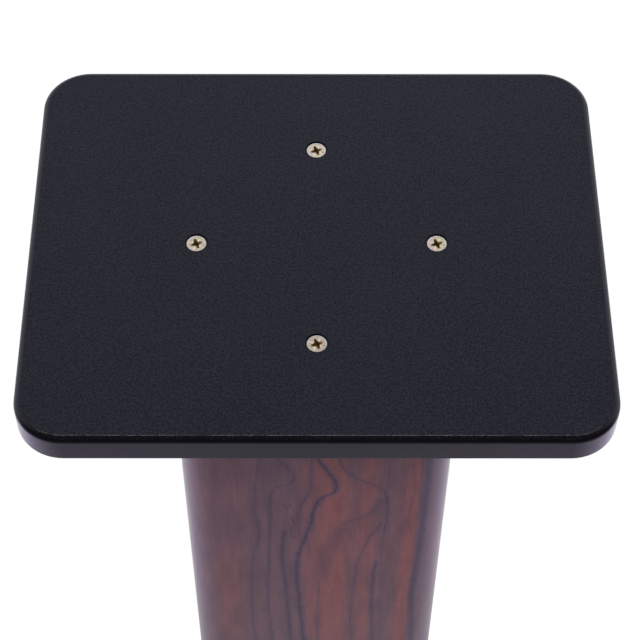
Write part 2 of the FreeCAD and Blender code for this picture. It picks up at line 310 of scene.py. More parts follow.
def thread(name, core, crest, pitch, low, turns, steps):
    """A helical ridge with a small flat crest, its root sunk into the core."""
    root = core - THREAD_SINK
    half_root, half_crest = THREAD_HALF_ROOT * pitch, THREAD_HALF_CREST * pitch
    section = [
        (root, low),
        (crest, low + half_root - half_crest),
        (crest, low + half_root + half_crest),
        (root, low + 2 * half_root),
    ]
    ridge = added(name, bpy.ops.mesh.primitive_plane_add, size=MM)
    open_mesh(ridge)
    form = bmesh.from_edit_mesh(ridge.data)
    form.faces.ensure_lookup_table()
    # the plane's corners become the section's, taken in turn round its face
    for vertex, (radius, height) in zip(form.faces[0].verts, section):
        vertex.co = (radius, 0, height)
    bmesh.update_edit_mesh(ridge.data)
    bpy.ops.mesh.select_all(action="SELECT")
    bpy.ops.mesh.delete(type="ONLY_FACE")
    close_mesh()
    modify(ridge, "SCREW", axis="Z", angle=math.tau, screw_offset=pitch, iterations=turns,
           steps=steps, render_steps=steps, use_normal_calculate=True)
    open_mesh(ridge)
    bpy.ops.mesh.select_all(action="SELECT")
    bpy.ops.mesh.fill_holes(sides=4)
    tidy_normals()
    close_mesh()
    return ridge


def note(piece, name, value_at):
    """Keep a number at each vertex, which the materials read by its name."""
    attribute = piece.data.attributes.new(name, "FLOAT", "POINT")
    for vertex, item in zip(piece.data.vertices, attribute.data):
        item.value = value_at(vertex.co)


def middle(node):
    """The middle of a node's box, seen from above."""
    low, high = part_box(node)
    return ((low + high) / 2).xy


def slab(name, low, high, corner_radius):
    """A slab with round corners, from its lowest and its highest corner."""
    piece = added(name, bpy.ops.mesh.primitive_cube_add, size=1,
                  location=(low + high) / 2, scale=high - low)
    open_mesh(piece)
    pick("EDGE", upright)
    round_over(corner_radius, CORNER_STEPS)
    close_mesh()
    return piece


# --- plates ------------------------------------------------------------------------------------

def countersinks(plate, surface, up, depth):
    """Cutters for a plate's four screw holes, from a surface that looks up or down."""
    way = 1 if up else -1
    outline = [
        (0, surface + way * CUT_MARGIN),
        (SINK_MOUTH + CUT_MARGIN, surface + way * CUT_MARGIN),
        (SHANK_HOLE, surface - way * (SINK_MOUTH - SHANK_HOLE)),
        (SHANK_HOLE, surface - way * depth),
        (0, surface - way * depth),
    ]
    cutter = turned("countersink", outline)
    cutters = []
    for side in SIDES:
        x, y = middle(f"{plate}_plate_screw_{side}")
        cutters.append(copy_of(cutter, f"countersink_{side}", (x, y, 0)))
    bpy.data.objects.remove(cutter)
    return joined(cutters)


def drills(places, radius, low, high):
    """Cutters for plain holes."""
    cutters = [
        added("drill", bpy.ops.mesh.primitive_cylinder_add, vertices=SCREW_SIDES, radius=radius,
              depth=high - low, location=(x, y, (low + high) / 2))
        for x, y in places
    ]
    return joined(cutters)


def plate_board(plate, corner_radius):
    """A plate's board: round corners, a rounded upper edge and a small arris below."""
    low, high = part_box(f"{plate}_plate_board")
    board = slab(f"{plate}_board", low, high, corner_radius)
    open_mesh(board)
    pick("EDGE", at_level(high.z))
    round_over(EDGE_RADIUS, EDGE_STEPS)
    pick("EDGE", at_level(low.z))
    round_over(ARRIS_RADIUS, ARRIS_STEPS)
    tidy_normals()
    close_mesh()
    return board


def plate_film(plate, corner_radius):
    """The film on a plate's flat, its cut edge just broken."""
    low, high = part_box(f"{plate}_plate_film")
    film = slab(f"{plate}_film", low, high, corner_radius - EDGE_RADIUS)
    open_mesh(film)
    pick("EDGE", at_level(high.z))
    round_over(FILM_LIP, LIP_STEPS)
    tidy_normals()
    close_mesh()
    return film


def top_plate():
    """The top plate's board and film, with the four screw holes from above."""
    board = plate_board("top", TOP_CORNER_RADIUS)
    film = plate_film("top", TOP_CORNER_RADIUS)
    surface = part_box("top_plate_film")[1].z
    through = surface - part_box("top_plate_board")[0].z + CUT_MARGIN
    for piece in (board, film):
        combine(piece, "DIFFERENCE", countersinks("top", surface, True, through))
        shade(piece)
    return board, film


def base_plate():
    """The base's board and film, with the screw holes from below and the holes for the inserts."""
    board = plate_board("base", BASE_CORNER_RADIUS)
    film = plate_film("base", BASE_CORNER_RADIUS)
    low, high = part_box("base_plate_board")
    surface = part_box("base_plate_film")[1].z
    through = surface - low.z + CUT_MARGIN
    combine(board, "DIFFERENCE", countersinks("base", low.z, False, through))
    shanks = [middle(f"base_plate_screw_{side}") for side in SIDES]
    shank_holes = drills(shanks, SHANK_HOLE, high.z - CUT_MARGIN, surface + CUT_MARGIN)
    combine(film, "DIFFERENCE", shank_holes)
    inserts = [middle(f"foot_insert_{corner}") for corner in CORNERS]
    insert_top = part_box(f"foot_insert_{CORNERS[0]}")[1].z + INSERT_END_GAP
    combine(board, "DIFFERENCE", drills(inserts, INSERT_HOLE, low.z - CUT_MARGIN, insert_top))
    shade(board)
    shade(film)
    return board, film


# --- column ------------------------------------------------------------------------------------

def distance_around(x, y):
    """How far a point of the wrap lies round the column, right of the front's middle or left."""
    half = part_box("column_wrap")[1].x
    flat = half - WRAP_CORNER_RADIUS
    arc = WRAP_CORNER_RADIUS * math.pi / 2
    side = math.copysign(1, x)
    across = abs(x)
    if across <= flat:
        along = across if y < 0 else 4 * flat + 2 * arc - across
    elif abs(y) <= flat:
        along = 2 * flat + arc + y
    elif y < 0:
        along = flat + WRAP_CORNER_RADIUS * math.atan2(across - flat, -y - flat)
    else:
        along = 3 * flat + arc + WRAP_CORNER_RADIUS * math.atan2(y - flat, across - flat)
    return side * along


def at_back(face):
    return face.normal.y > FACING


def column_wrap():
    """The wrap: a thin shell round the column with a butt seam up the middle of its back."""
    low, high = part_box("column_wrap")
    wrap = slab("rosewood_wrap", low, high, WRAP_CORNER_RADIUS)
    open_mesh(wrap)
    pick("FACE", lambda face: abs(face.normal.z) > FACING)
    bpy.ops.mesh.delete(type="FACE")
    for x in (-WRAP_SEAM / 2, WRAP_SEAM / 2):
        pick("FACE", at_back)
        bpy.ops.mesh.bisect(plane_co=(x, 0, 0), plane_no=(1, 0, 0))
    pick("FACE", lambda face: at_back(face) and abs(face.calc_center_median().x) < WRAP_SEAM / 4)
    bpy.ops.mesh.delete(type="FACE")
    close_mesh()
    modify(wrap, "SOLIDIFY", thickness=WRAP_THICKNESS, offset=-1, use_even_offset=True)
    shade(wrap)
    note(wrap, "around", lambda place: distance_around(place.x, place.y))
    return wrap


# --- screws ------------------------------------------------------------------------------------

def recess_cutter():
    """A tapered star of four arms, and four marks between them, for a head with its flat at 0."""
    star = added("star", bpy.ops.mesh.primitive_circle_add, vertices=12, radius=RECESS_REACH,
                 fill_type="NGON")
    open_mesh(star)
    form = bmesh.from_edit_mesh(star.data)
    ring = sorted(form.verts, key=lambda vertex: math.atan2(vertex.co.y, vertex.co.x) % math.tau)
    # each arm has two corners at its tip, and the one corner between two arms is drawn in
    for number, vertex in enumerate(ring):
        arm, place = divmod(number + 1, 3)
        turn = Matrix.Rotation(arm * math.pi / 2, 3, "Z")
        if place == 2:
            diagonal = RECESS_CORE / math.sqrt(2)
            point = Vector((diagonal, diagonal, 0))
        else:
            point = Vector((RECESS_REACH, (2 * place - 1) * RECESS_ARM_HALF, 0))
        vertex.co = turn @ point
    bmesh.update_edit_mesh(star.data)
    bpy.ops.mesh.select_all(action="SELECT")
    bpy.ops.transform.translate(value=(0, 0, RECESS_RISE))
    for drop in (RECESS_RISE, RECESS_DEPTH):
        bpy.ops.mesh.extrude_region_move(TRANSFORM_OT_translate={"value": (0, 0, -drop)})
    narrow = (RECESS_TAPER, RECESS_TAPER, 1)
    bpy.ops.transform.resize(value=narrow, center_override=(0, 0, -RECESS_DEPTH))
    tidy_normals()
    close_mesh()
    near, far = MARK_REACH
    marks = []
    for quarter in range(4):
        # a bar with a square section stood on its corner, and flattened
        mark = added("mark", bpy.ops.mesh.primitive_cylinder_add, vertices=4, radius=MARK_HALF,
                     depth=far - near, rotation=(0, math.pi / 2, 0))
        open_mesh(mark)
        bpy.ops.mesh.select_all(action="SELECT")
        bpy.ops.transform.resize(value=(1, 1, MARK_DEPTH / MARK_HALF), center_override=(0, 0, 0))
        bpy.ops.transform.translate(value=((near + far) / 2, 0, 0))
        close_mesh()
        marks.append(spun(mark, 45 + 90 * quarter))
    return spun(star, RECESS_TURN), spun(joined(marks), RECESS_TURN)


def screw(name, node):
    """A countersunk wood screw with its head's flat at 0 and its point below."""
    low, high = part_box(node)
    length = high.z - low.z
    head_radius = (high.x - low.x) / 2
    neck = -(HEAD_RIM + head_radius - SCREW_RADIUS)
    plain = neck - PLAIN_SHANK
    piece = turned(name, [
        (0, -HEAD_DISH),
        (head_radius - HEAD_LAND - HEAD_DISH, -HEAD_DISH),
        (head_radius - HEAD_LAND, 0),
        (head_radius, 0),
        (head_radius, -HEAD_RIM),
        (SCREW_RADIUS, neck),
        (SCREW_RADIUS, plain),
        (SCREW_CORE, plain - SCREW_RADIUS + SCREW_CORE),
        (SCREW_CORE, SCREW_POINT - length),
        (0, -length),
    ], SCREW_SIDES)
    modify(piece, "BEVEL", width=SCREW_EDGE, segments=3, limit_method="ANGLE",
           angle_limit=math.radians(60))
    for cutter in recess_cutter():
        combine(piece, "DIFFERENCE", cutter)
    turns = int((length - SCREW_POINT + plain) / SCREW_PITCH)
    ridge = thread("ridge", SCREW_CORE, SCREW_RADIUS, SCREW_PITCH, SCREW_POINT - length, turns,
                   SCREW_THREAD_STEPS)
    combine(piece, "UNION", ridge)
    shade(piece)
    # the zinc reads these for its painted shade in the recess, painted highlight on the rim and
    # painted glints in the marks
    note(piece, "recess", recess_share)
    note(piece, "radial", lambda place: place.xy.length / head_radius)
    note(piece, "mark", in_a_mark)
    return piece


def recess_share(place):
    """0 on the outside of a screw, up to 1 at the bottom of its recess."""
    inside = place.xy.length < RECESS_REACH + 0.1 * MM and -RECESS_DEPTH - CLOSE < place.z
    sunk = -place.z - HEAD_DISH
    return min(max(sunk / (0.7 * RECESS_DEPTH), 0), 1) if inside else 0


def in_a_mark(place):
    """1 along the bottom of the marks between the recess's arms."""
    return float(abs(place.z + MARK_DEPTH) < CLOSE and place.xy.length < MARK_REACH[1] + CLOSE)


def screws():
    """Four screws down through the top plate, and four up through the base."""
    made = []
    for plate, up in (("top", False), ("base", True)):
        first = screw(f"{plate}_screw", f"{plate}_plate_screw_front")
        for side in SIDES:
            node = f"{plate}_plate_screw_{side}"
            low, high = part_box(node)
            x, y = middle(node)
            level = low.z if up else high.z
            turn = math.pi if up else 0
            made.append((copy_of(first, f"{plate}_screw_{side}", (x, y, level), turn), node))
        bpy.data.objects.remove(first)
    return made


# --- feet --------------------------------------------------------------------------------------

def foot_insert(name, node):
    """A flanged insert: its flange below, its bore open for the stud."""
    low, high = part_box(node)
    flange = (high.x - low.x) / 2
    barrel = INSERT_HOLE - BARREL_GAP
    piece = turned(name, [
        (STUD_HOLE, low.z),
        (flange, low.z),
        (flange, low.z + FLANGE_HEIGHT),
        (barrel, low.z + FLANGE_HEIGHT),
        (barrel, high.z),
        (STUD_HOLE, high.z),
    ])
    soften(piece, INSERT_EDGE)
    return piece


def foot_nut(name, node):
    """A lock nut with chamfered corners."""
    low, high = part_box(node)
    corner = (high.x - low.x) / 2
    flat = corner * math.cos(math.pi / 6)
    height = high.z - low.z
    nut = added(name, bpy.ops.mesh.primitive_cylinder_add, vertices=6, radius=corner,
                depth=height, location=(0, 0, low.z + height / 2), rotation=(0, 0, math.pi / 6))
    fall = (corner - flat) * math.tan(NUT_CHAMFER) * NUT_CHAMFER_DEPTH
    blank = turned("blank", [
        (STUD_HOLE, low.z + NUT_BORE_CHAMFER),
        (STUD_HOLE + NUT_BORE_CHAMFER, low.z),
        (flat * NUT_FACE, low.z),
        (corner * NUT_BLANK, low.z + fall),
        (corner * NUT_BLANK, high.z - fall),
        (flat * NUT_FACE, high.z),
        (STUD_HOLE + NUT_BORE_CHAMFER, high.z),
        (STUD_HOLE, high.z - NUT_BORE_CHAMFER),
    ], NUT_BLANK_SIDES)
    combine(nut, "INTERSECT", blank)
    soften(nut, NUT_EDGE)
    return nut


def knurl(low, high):
    """The knurled band of a spike's collar, its teeth tapered at both ends."""
    middle_height = (low + high) / 2
    band = added("knurl", bpy.ops.mesh.primitive_cylinder_add, vertices=2 * COLLAR_TEETH,
                 radius=COLLAR_RADIUS, depth=high - low, location=(0, 0, middle_height))
    open_mesh(band)
    step = math.pi / COLLAR_TEETH

    def in_valley(vertex):
        return round(math.atan2(vertex.co.y, vertex.co.x) / step) % 2 == 1

    pick("VERT", in_valley)
    depth = 1 - TOOTH_DEPTH / COLLAR_RADIUS
    bpy.ops.transform.resize(value=(depth, depth, 1), center_override=(0, 0, 0))
    taper = (TOOTH_END_TAPER, TOOTH_END_TAPER, 1)
    for level in (low, high):
        pick("FACE", at_level(level))
        bpy.ops.mesh.inset(thickness=TOOTH_END_INSET)
        bpy.ops.transform.resize(value=taper, center_override=(0, 0, level))
        rise = math.copysign(TOOTH_END_RISE, level - middle_height)
        bpy.ops.transform.translate(value=(0, 0, rise))
    tidy_normals()
    close_mesh()
    return band


def foot_spike(name, node):
    """A levelling spike: cone, knurled collar and threaded stud in one."""
    low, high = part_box(node)
    shoulder = low.z + CONE_HEIGHT
    collar_top = shoulder + COLLAR_HEIGHT
    knurl_low, knurl_high = shoulder + COLLAR_CHAMFER, collar_top - COLLAR_CHAMFER
    thread_low = collar_top + STUD_GROOVE
    collar = COLLAR_RADIUS - COLLAR_CHAMFER
    slope = CONE_HEIGHT / (COLLAR_RADIUS - POINT_RADIUS)
    spike = turned(name, [
        (0, low.z),
        (POINT_RADIUS, low.z),
        (collar, shoulder - COLLAR_CHAMFER * slope),
        (collar, knurl_low),
        (collar, collar_top - COLLAR_CHAMFER / 2),
        (collar - COLLAR_CHAMFER, collar_top),
        (STUD_CORE + STUD_GROOVE, collar_top),
        (STUD_CORE, thread_low),
        (STUD_CORE, high.z),
        (0, high.z),
    ])
    soften(spike, SPIKE_EDGE)
    combine(spike, "UNION", knurl(knurl_low, knurl_high))
    turns = int((high.z - thread_low) / STUD_PITCH) - 1
    ridge = thread("ridge", STUD_CORE, STUD_RADIUS, STUD_PITCH, thread_low, turns,
                   STUD_THREAD_STEPS)
    combine(spike, "UNION", ridge)
    shade(spike, 28, large_faces=False)
    root, bottom = STUD_CORE + 0.1 * MM, COLLAR_RADIUS - 0.8 * TOOTH_DEPTH

    def in_a_hollow(place):
        """1 between the teeth and at the thread's root, where the steel gets painted shade."""
        reach = place.xy.length
        if knurl_low - CLOSE < place.z < knurl_high + CLOSE:
            return float(collar + CLOSE < reach < bottom)
        return float(thread_low < place.z and reach < root)

    note(spike, "hollow", in_a_hollow)
    return spike


def foot_cup(name, node):
    """A rubber cup with a rounded lip and two grip grooves under it."""
    low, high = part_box(node)
    outer = (high.x - low.x) / 2
    slope = (COLLAR_RADIUS - POINT_RADIUS) / CONE_HEIGHT
    seat = POINT_RADIUS + CUP_GAP
    mouth = seat + (high.z - CUP_FLOOR) * slope
    skirt_step, skirt_height = CUP_SKIRT
    grooves = [(radius - inwards, up) for radius in GRIP_RADII for inwards, up in GRIP_SECTION]
    cup = turned(name, [
        (0, 0),
        *reversed(grooves),
        (outer, 0),
        (outer - skirt_step, skirt_height),
        (CUP_LIP_RADIUS, high.z),
        (mouth, high.z),
        (seat, CUP_FLOOR),
        (0, CUP_FLOOR),
    ])
    soften(cup, CUP_EDGE, segments=4, angle=25)
    return cup


def feet():
    """Each foot's pieces are made once, about the axis, and copied to the four corners."""
    kinds = (
        ("insert", foot_insert, "foot_insert", "stand", "yellow_zinc"),
        ("lock_nut", foot_nut, "foot_nut", "stand", "foot_steel"),
        ("spike", foot_spike, "foot_spike", "spike", "foot_steel"),
        ("cup", foot_cup, "foot_cup", "cup", "black_rubber"),
    )
    made = []
    for word, build, node_word, body_word, slot in kinds:
        first = build(word, f"{node_word}_{CORNERS[0]}")
        for corner in CORNERS:
            node = f"{node_word}_{corner}"
            x, y = middle(node)
            body = body_word if body_word == "stand" else f"{body_word}_{corner}"
            made.append((copy_of(first, f"{word}_{corner}", (x, y, 0)), node, body, slot))
        bpy.data.objects.remove(first)
    return made


# --- shaders -----------------------------------------------------------------------------------

class Number:
    """A socket's value; arithmetic on it adds Math nodes."""

    def __init__(self, nodes, socket):
        self.nodes = nodes
        self.socket = socket

    def __add__(self, other):
        return self.nodes.math("ADD", self, other)

    def __radd__(self, other):
        return self.nodes.math("ADD", other, self)

    def __sub__(self, other):
        return self.nodes.math("SUBTRACT", self, other)

    def __rsub__(self, other):
        return self.nodes.math("SUBTRACT", other, self)

    def __mul__(self, other):
        return self.nodes.math("MULTIPLY", self, other)

    def __rmul__(self, other):
        return self.nodes.math("MULTIPLY", other, self)

    def __truediv__(self, other):
        return self.nodes.math("DIVIDE", self, other)

    def __rtruediv__(self, other):
        return self.nodes.math("DIVIDE", other, self)

    def __abs__(self):
        return self.nodes.math("ABSOLUTE", self)

    def greatest(self, other):
        return self.nodes.math("MAXIMUM", self, other)

    def ramp(self, start, end, low=0, high=1):
        """Smoothly from low, before start, to high, after end."""
        inputs = {"Value": self, "From Min": start, "From Max": end, "To Min": low, "To Max": high}
        return self.nodes.add("MapRange", {"interpolation_type": "SMOOTHSTEP"}, inputs)


class Nodes:
    """A node tree being written."""

    def __init__(self, tree):
        self.tree = tree
        tree.nodes.clear()

    def add(self, kind, settings=None, inputs=None, output=0):
        """Add a node by its type, then its settings, then its sockets' values or links."""
        node = self.tree.nodes.new(f"ShaderNode{kind}")
        for name, value in (settings or {}).items():
            if name == "points":
                self.set_points(node.mapping, value)
            else:
                setattr(node, name, value)
        for name, value in (inputs or {}).items():
            if isinstance(value, Number):
                self.tree.links.new(value.socket, node.inputs[name])
            else:
                node.inputs[name].default_value = value
        return Number(self, node.outputs[output]) if node.outputs else None

    @staticmethod
    def set_points(mapping, points):
        """A curve's points, each in 0 to 1."""
        curve = mapping.curves[0]
        for place in points[2:]:
            curve.points.new(*place)
        for point, place in zip(curve.points, points):
            point.location = place
        mapping.update()

    def math(self, operation, *values):
        inputs = dict(enumerate(values))
        return self.add("Math", {"operation": operation}, inputs)

    def mix(self, factor, first, second, blend="MIX"):
        """Mix two colours, which may be links."""
        settings = {"data_type": "RGBA", "blend_type": blend}
        inputs = {0: factor, 6: self.colour(first), 7: self.colour(second)}
        return self.add("Mix", settings, inputs, output=2)

    @staticmethod
    def colour(value):
        return value if isinstance(value, Number) else (*value, 1)

    def object_place(self):
        return self.add("TexCoord", output=3)

    def noted(self, name):
        """The number that note() kept under a name."""
        return self.add("Attribute", {"attribute_name": name}, output=2)

    def part(self, vector, axis):
        """A vector's part along X, Y or Z."""
        return self.add("SeparateXYZ", None, {0: vector}, output="XYZ".index(axis))

    def stretched(self, place, scale):
        """A place scaled along each axis."""
        return self.add("VectorMath", {"operation": "MULTIPLY"}, {0: place, 1: scale})

    def noise(self, place, scale=1, detail=2, roughness=0.5):
        inputs = {"Vector": place, "Scale": scale, "Detail": detail, "Roughness": roughness}
        return self.add("TexNoise", {"noise_dimensions": "3D"}, inputs)

    def cells(self, place, scale, feature="F1"):
        inputs = {"Vector": place, "Scale": scale}
        return self.add("TexVoronoi", {"feature": feature}, inputs)

    def bump(self, height, strength, distance):
        inputs = {"Strength": strength, "Distance": distance, "Height": height}
        return self.add("Bump", None, inputs)

    def join(self, x, y, z=0):
        return self.add("CombineXYZ", None, {0: x, 1: y, 2: z})


def finish(name, describe):
    """A material: describe(nodes) gives the sockets of its one Principled shader."""
    material = bpy.data.materials.new(name)
    material.use_nodes = True
    nodes = Nodes(material.node_tree)
    sockets = describe(nodes)
    shader = nodes.add("BsdfPrincipled", None, sockets)
    nodes.add("OutputMaterial", None, {"Surface": shader})
    return material


GRAIN_BEND = 0.7 * MM


def grained_film(nodes):
    """Black film embossed with a fine leather-like grain; its cut edge is greyer and uneven, and
    paler still where it faces the front, a painted highlight.
    """
    place = nodes.object_place()
    bend = nodes.add("TexNoise", None, {"Vector": place, "Scale": 700, "Detail": 2}, output=1)
    bent = nodes.add("VectorMath", {"operation": "MULTIPLY_ADD"},
                     {0: bend, 1: (GRAIN_BEND, GRAIN_BEND, GRAIN_BEND), 2: place})
    pebbles = nodes.cells(bent, 1150, "SMOOTH_F1")
    creases = nodes.cells(bent, 620, "DISTANCE_TO_EDGE")
    fine = nodes.noise(place, 2600, detail=3)
    patches = nodes.noise(place, 28, detail=3)
    specks = nodes.noise(place, 1100, detail=2, roughness=0.6).ramp(0.38, 0.62)
    height = 0.75 * (1 - pebbles) + 0.35 * creases.ramp(0, 0.12) + 0.18 * fine
    facing = nodes.add("NewGeometry", output=3)
    level = abs(nodes.part(facing, "Z"))
    front = nodes.part(facing, "Y").ramp(-0.7, -0.97)
    broken = nodes.noise(place, 240, detail=3).ramp(0.36, 0.56, 0.3, 1)
    # the cut edge: the film's grey core all round, plus a painted highlight that makes it paler
    # where it faces the front
    cut_edge_and_highlight = level.ramp(0.6, 0.2) * broken * (0.3 + 0.7 * front)
    # the walls of the countersinks, at 45 degrees, painted nearly black as the shade in the holes
    sunk = level.ramp(0.95, 0.75) * level.ramp(0.6, 0.68)
    dark, light = (0.0012, 0.0012, 0.0030), (0.0068, 0.0066, 0.0106)
    face = nodes.mix(0.75 * specks + 0.25 * patches, dark, light)
    # painted shade on the countersinks' walls
    face = nodes.mix(sunk, face, (0.0008, 0.0008, 0.0012))
    return {
        "Base Color": nodes.mix(cut_edge_and_highlight, face, (0.16, 0.15, 0.15)),
        "Roughness": 0.38 + 0.10 * pebbles + 0.05 * patches + 0.4 * sunk,
        "IOR": 1.34,
        "Normal": nodes.bump(height, 0.6, 0.00008),
    }


def black_lacquer(nodes):
    """Smooth satin black on the boards' edges, with a faint ripple and specks of dust."""
    place = nodes.object_place()
    ripple = nodes.noise(place, 90, detail=2)
    fine = nodes.noise(place, 1500, detail=2)
    tone = nodes.noise(place, 22, detail=3)
    specks = nodes.cells(place, 420).ramp(0.05, 0.02)
    face = nodes.mix(tone, (0.0012, 0.0012, 0.0020), (0.0020, 0.0020, 0.0030))
    return {
        "Base Color": nodes.mix(specks * 0.05, face, (0.03, 0.03, 0.035)),
        "Roughness": 0.22 + 0.06 * tone + 0.05 * fine,
        "IOR": 1.5,
        "Normal": nodes.bump(0.8 * ripple + 0.2 * fine, 0.05, 0.0003),
    }


# the front's main veins below the top plate: points of place across and of depth under the
# plate's top, in millimetres, with each vein's half width and its darkness; a wide and faint one
# is a smear
FRONT_VEINS = (
    (((0, 74), (5, 86), (9, 98), (8, 105), (2.5, 110), (-0.6, 120), (-2, 133), (-5, 149),
      (-8.5, 169), (-8, 212), (-6, 260)), 0.85, 1.0),
    (((-17, 74), (-12, 84), (-9.5, 90), (-10, 95), (-17, 100), (-20, 106), (-20.6, 124),
      (-22, 168), (-23, 200), (-22, 260)), 0.6, 0.62),
    (((-2, 74), (-2, 90), (-2.5, 103), (-6, 114), (-8, 130), (-9, 142)), 0.5, 0.6),
    (((-24, 74), (-26, 90), (-28, 124), (-26, 143), (-29, 165), (-31, 224), (-30, 260)), 0.6, 0.5),
    (((-14.4, 140), (-15.6, 161), (-15, 186), (-14, 209), (-12.7, 260)), 0.8, 0.75),
    (((10, 74), (12, 83), (16, 90), (22.5, 96), (30, 103), (32, 116), (32, 136), (30.6, 150)),
     0.6, 0.6),
    (((30.6, 132), (26, 145), (22, 161), (20, 171), (18.7, 193), (17.7, 218), (18, 250)),
     0.6, 0.52),
    (((29.5, 110), (27, 120), (22, 128), (15, 132), (10, 141)), 1.7, 0.4),
    (((29, 170), (28, 180), (27.5, 209), (29, 260)), 0.8, 0.65),
    (((12, 136), (9, 148), (6, 162), (4, 176), (2, 196)), 2.8, 0.34),
    (((2, 190), (1.4, 210), (1, 230), (1.6, 260)), 0.6, 0.45),
    (((32, 74), (32.2, 104), (31.5, 150), (31, 164), (32, 200), (33, 260)), 0.35, 0.35),
    (((42, 74), (43, 90), (43.5, 104), (41.5, 132), (41, 150)), 0.35, 0.35),
    (((49.4, 74), (49.4, 104), (49, 150), (48.2, 175), (47.2, 196), (47, 214), (48.4, 234),
      (49, 260)), 1.3, 0.8),
)
# the depth down to which they are drawn; one that begins above VEIN_TOP runs out from under the
# plate, and one that ends below VEIN_END runs on
VEIN_SPAN = 260 * MM
VEIN_TOP = 75 * MM
VEIN_END = 248 * MM
FRONT_HALF = 60 * MM
# how red the front is, from place across in millimetres
RED_ZONES = (
    (-60, 0.25), (-50, 0.25), (-43, 0.15), (-36, 0.15), (-28, 0.15), (-14, 0.2), (-6, 0.4),
    (2, 0.75), (9, 1), (14, 0.7), (17, 0.5), (21, 0.7), (27, 0.5), (31, 0.22), (37, 0.3),
    (40, 0.6), (43, 1), (46, 0.55), (48.5, 0.05), (60, 0.1),
)
# how far the figure wanders, from edge to edge: slowly, in fine jags, and at a vein's own edges
SWAY, JAG, FEATHER = 20 * MM, 3.8 * MM, 1.8 * MM
# rings of the other faces: how many for each metre, how far they swirl, and their jags
RING_COUNT, RING_SWIRL, RING_JAG = 85, 7, 3 * MM


def across_front(across):
    """A place across the front as a share of its width, for the curves."""
    return across * (0.5 / FRONT_HALF) + 0.5


def within(place, low, high, edge):
    """1 between two places, falling off over an edge beyond each."""
    return place.ramp(low - edge, low) * place.ramp(high + edge, high)


def rosewood_film(nodes):
    """Printed rosewood grain that runs down the column and on round its corners."""
    around = nodes.noted("around")
    height = nodes.part(nodes.object_place(), "Z")
    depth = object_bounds()[1].z - height
    flat = nodes.join(around, 0, height)

    def grain(sideways, upright, detail=2, roughness=0.5):
        """Noise with its own scale round the column and its own up the column."""
        place = nodes.stretched(flat, (sideways, 1, upright))
        return nodes.noise(place, 1, detail, roughness)

    # wander of the figure; the sway comes in as the drawn veins run out
    sway = grain(9, 2.2) - 0.5
    jag = grain(190, 170, detail=5, roughness=0.74) - 0.5
    below = depth.ramp(200 * MM, 500 * MM)
    across = around + jag * JAG + sway * below * SWAY
    feather = grain(1000, 360, roughness=0.6) - 0.5

    line, halo = 0, 0
    for points, half_width, darkness in FRONT_VEINS:
        first, last = points[0][1] * MM, points[-1][1] * MM
        places = [(z * MM / VEIN_SPAN, across_front(x * MM)) for x, z in points]
        track = nodes.add("FloatCurve", {"points": places}, {"Value": depth / VEIN_SPAN})
        off = abs(across_front(across) - track) * (2 * FRONT_HALF) + feather * FEATHER
        begins = depth.ramp(first - 3 * MM, first + 4 * MM) if first > VEIN_TOP else 1
        ends = 1 if last > VEIN_END else depth.ramp(last, last - 12 * MM)
        shown = darkness * (begins * ends)
        line = (off.ramp(half_width * 1.6 * MM, half_width * 0.3 * MM) * shown).greatest(line)
        halo = (off.ramp((half_width + 2.6) * MM, half_width * MM) * shown).greatest(halo)

    # other faces: rings of a slanted cut, their lines drawn out along the column
    elsewhere = abs(around).ramp(52 * MM, 60 * MM)
    swirl = grain(14, 3.2, detail=3, roughness=0.45)
    rings = (around + jag * RING_JAG) * RING_COUNT + swirl * RING_SWIRL
    phase = abs(nodes.math("FRACT", rings) - 0.5)
    strength = grain(60, 4, detail=1).ramp(0.35, 0.62, 0.15, 1)
    ring_share = strength * elsewhere * 0.9
    line = line.greatest(phase.ramp(0.075, 0.015) * ring_share)
    halo = halo.greatest(phase.ramp(0.24, 0.05) * ring_share)

    # colour: red and brown-purple zones, clouds, streaks, ticks along the veins and short pores
    zones = grain(40, 5, detail=3, roughness=0.55)
    clouds = grain(120, 38, detail=4, roughness=0.6)
    streaks = grain(620, 42, detail=4, roughness=0.65)
    ticks = grain(900, 420).ramp(0.38, 0.56, 0.55, 1)
    pore_field = grain(45, 14, detail=1).ramp(0.45, 0.62)
    pores = grain(1250, 150).ramp(0.62, 0.72)
    # a cluster of short dashes left of the front's middle
    dashes = (within(depth, 120 * MM, 142 * MM, 8 * MM)
              * within(across, -14 * MM, -8 * MM, 1.5 * MM))
    dashes = dashes * grain(900, 120).ramp(0.52, 0.6)
    red_points = [(across_front(x * MM), share) for x, share in RED_ZONES]
    curve = nodes.add("FloatCurve", {"points": red_points}, {"Value": across_front(across)})
    low_left = depth.ramp(145 * MM, 190 * MM) * within(across, -43 * MM, -39 * MM, 7 * MM)
    red = curve + 0.3 * low_left + (zones - 0.5) * 0.8 + (clouds - 0.5) * 0.7
    wood = nodes.mix(red.ramp(0.05, 1.0), (0.093, 0.044, 0.060), (0.160, 0.047, 0.048))
    wood = nodes.mix(halo * 0.55, wood, (0.052, 0.031, 0.068))
    grey = nodes.mix(clouds.ramp(0.3, 0.7), (0.86, 0.84, 0.84), (1.1, 1.12, 1.12))
    wood = nodes.mix(1, wood, grey, "MULTIPLY")
    fine = nodes.mix(streaks.ramp(0.3, 0.7), (0.84, 0.80, 0.82), (1.08, 1.1, 1.08))
    wood = nodes.mix(1, wood, fine, "MULTIPLY")
    pits = (pores * (0.15 + 0.45 * pore_field)).greatest(dashes * 0.75)
    wood = nodes.mix(pits, wood, (0.030, 0.014, 0.026))
    return {
        "Base Color": nodes.mix(line * ticks * 0.92, wood, (0.021, 0.012, 0.033)),
        "Roughness": 0.28 + 0.12 * streaks,
        "IOR": 1.38,
        "Normal": nodes.bump(streaks - 0.5 * pores, 0.08, 0.00005),
    }


